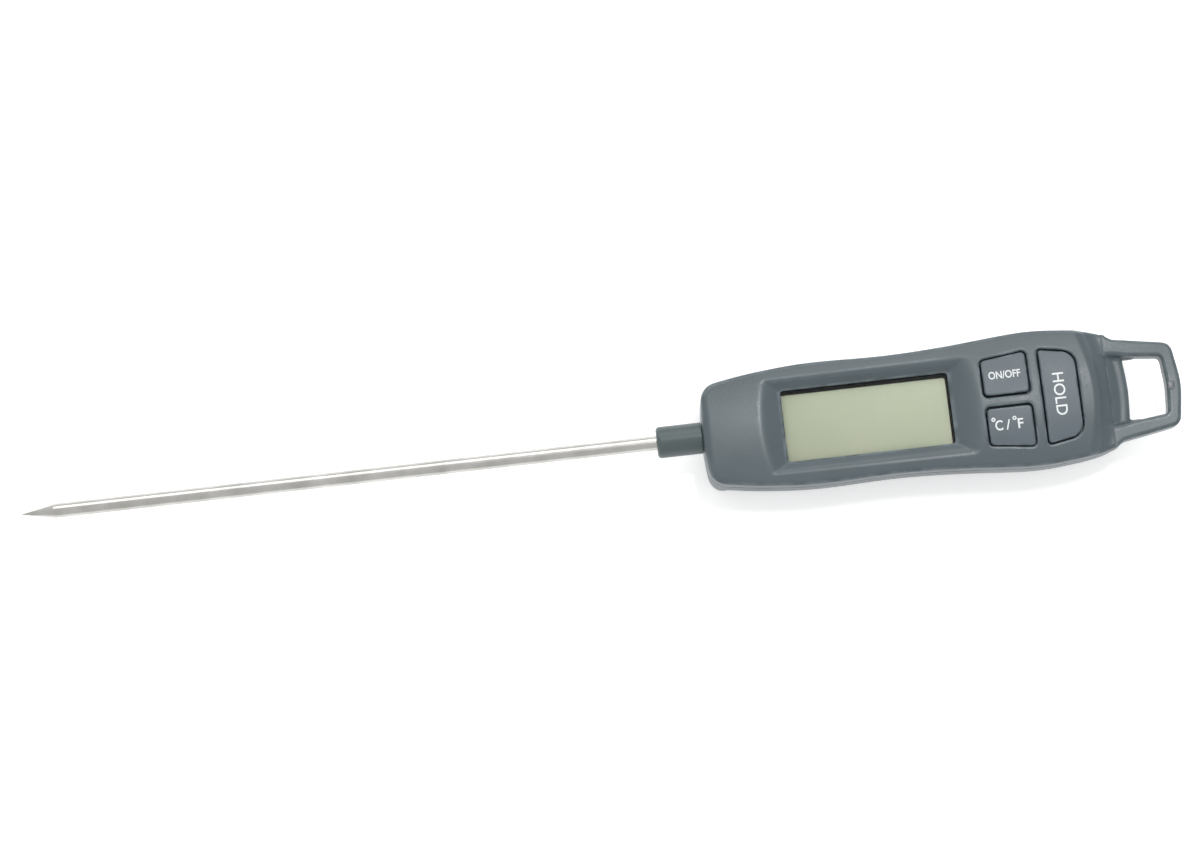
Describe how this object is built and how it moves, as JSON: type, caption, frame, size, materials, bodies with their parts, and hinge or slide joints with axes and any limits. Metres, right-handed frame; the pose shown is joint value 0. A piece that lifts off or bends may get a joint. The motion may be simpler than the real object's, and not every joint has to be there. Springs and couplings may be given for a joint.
{
  "type": "digital meat thermometer",
  "caption": "Slim handheld thermometer: a long pointed steel probe in a flat grey plastic housing with a display window, press keys, a round screw-in battery cover and a hanging loop.",
  "frame": {"origin": "middle of the instrument's length and width, on the flat back that it lies on", "axes": "+X from the probe's tip to the hanging loop, +Z out of the display, so +Y is on the side of the on/off key"},
  "size_m": [0.24, 0.028, 0.0148],
  "materials": {
    "housing_plastic": "satin moulded ABS, slate grey",
    "key_plastic": "satin moulded ABS, slate grey",
    "stainless_steel": "drawn and polished tube",
    "screw_steel": "zinc plated",
    "cell_steel": "nickel plated can",
    "plated_brass": "plated strip",
    "black_rubber": "matt black",
    "clear_lens": "clear acrylic",
    "lcd_face": "grey green reflective display, blank",
    "board_laminate": "green solder mask",
    "black_resin": "potting resin",
    "ceramic": "sintered ceramic",
    "switch_plastic": "black nylon",
    "plunger_plastic": "off white nylon",
    "wire_red": "insulated wire",
    "wire_black": "insulated wire",
    "legend_ink": "white pad print"
  },
  "bodies": {
    "housing": {"front_shell": "housing_plastic", "rear_shell": "housing_plastic", "probe_tube": "stainless_steel", "probe_collar": "housing_plastic", "probe_ferrule": "plated_brass", "thermistor": "black_resin", "sensor_lead_1": "wire_red", "sensor_lead_2": "wire_black", "display_window": "clear_lens", "display_gasket": "black_rubber", "lcd_front_glass": "lcd_face", "lcd_rear_glass": "lcd_face", "lcd_reflector": "lcd_face", "zebra_strip_far": "black_rubber", "zebra_strip_near": "black_rubber", "circuit_board": "board_laminate", "controller_blob": "black_resin", "chip_capacitor": "ceramic", "chip_resistor": "black_resin", "switch_power": "switch_plastic", "switch_units": "switch_plastic", "switch_hold": "switch_plastic", "coin_cell": "cell_steel", "contact_positive": "plated_brass", "contact_negative": "plated_brass", "case_screw_1": "screw_steel", "case_screw_2": "screw_steel", "case_screw_3": "screw_steel", "case_screw_4": "screw_steel"},
    "key_power": {"key_power": "key_plastic", "plunger_power": "plunger_plastic"},
    "key_units": {"key_units": "key_plastic", "plunger_units": "plunger_plastic"},
    "key_hold": {"key_hold": "key_plastic", "plunger_hold": "plunger_plastic"},
    "battery_cover_seal": {"cover_seal": "black_rubber"},
    "battery_cover": {"battery_cover": "housing_plastic"}
  },
  "joints": [
    {"name": "key_power_press", "type": "slide", "parent": "housing", "child": "key_power", "axis": [0, 0, -1], "range_m": [0, 0.0003], "stiffness_N_per_m": 4000},
    {"name": "key_units_press", "type": "slide", "parent": "housing", "child": "key_units", "axis": [0, 0, -1], "range_m": [0, 0.0003], "stiffness_N_per_m": 4000},
    {"name": "key_hold_press", "type": "slide", "parent": "housing", "child": "key_hold", "axis": [0, 0, -1], "range_m": [0, 0.0003], "stiffness_N_per_m": 4000},
    {"name": "battery_cover_lift", "type": "slide", "parent": "housing", "child": "battery_cover_seal", "axis": [0, 0, -1], "range_m": [0, 0.0012]},
    {"name": "battery_cover_turn", "type": "hinge", "parent": "battery_cover_seal", "child": "battery_cover", "pos_m": [0.088, 0, 0.003], "axis": [0, 0, -1], "range_deg": [0, 75]}
  ],
  "couplings": [
    {"joint": "battery_cover_turn", "follows": "battery_cover_lift", "rad_per_m": 1090.8}
  ]
}
